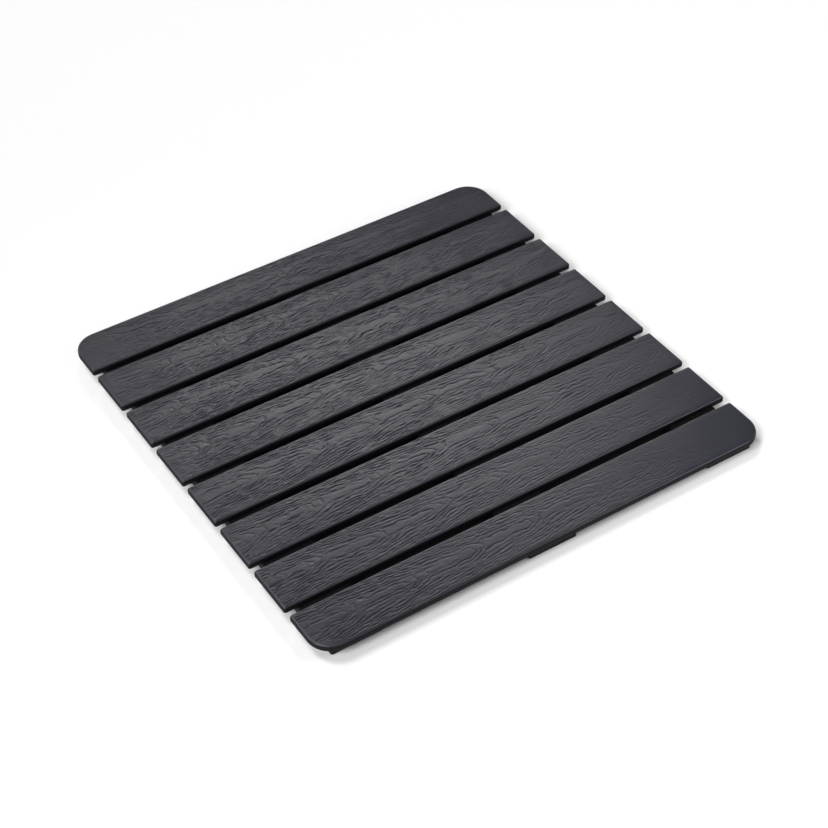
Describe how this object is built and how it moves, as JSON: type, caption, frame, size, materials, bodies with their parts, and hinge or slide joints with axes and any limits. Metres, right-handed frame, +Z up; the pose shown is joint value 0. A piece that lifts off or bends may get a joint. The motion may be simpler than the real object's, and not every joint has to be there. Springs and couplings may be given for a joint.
{
  "type": "slatted deck tile",
  "caption": "Square slatted deck tile: charcoal boards with embossed wood grain screwed to cross battens, with narrow drain gaps, laid flat as an outdoor walking surface.",
  "frame": {"origin": "middle of the underside, on the ground the battens lie on", "axes": "+X along the slats, +Y across the slats towards the back slat, +Z up out of the walking surface"},
  "size_m": [0.6, 0.5998, 0.02],
  "materials": {
    "slat_board": "embossed wood grain, satin, charcoal",
    "batten_board": "plain sawn board, matt, near black",
    "screw_steel": "zinc plated"
  },
  "bodies": {
    "root": {"slat_1": "slat_board", "slat_2": "slat_board", "slat_3": "slat_board", "slat_4": "slat_board", "slat_5": "slat_board", "slat_6": "slat_board", "slat_7": "slat_board", "slat_8": "slat_board", "batten_left": "batten_board", "batten_middle": "batten_board", "batten_right": "batten_board", "screws": "screw_steel"}
  },
  "joints": []
}
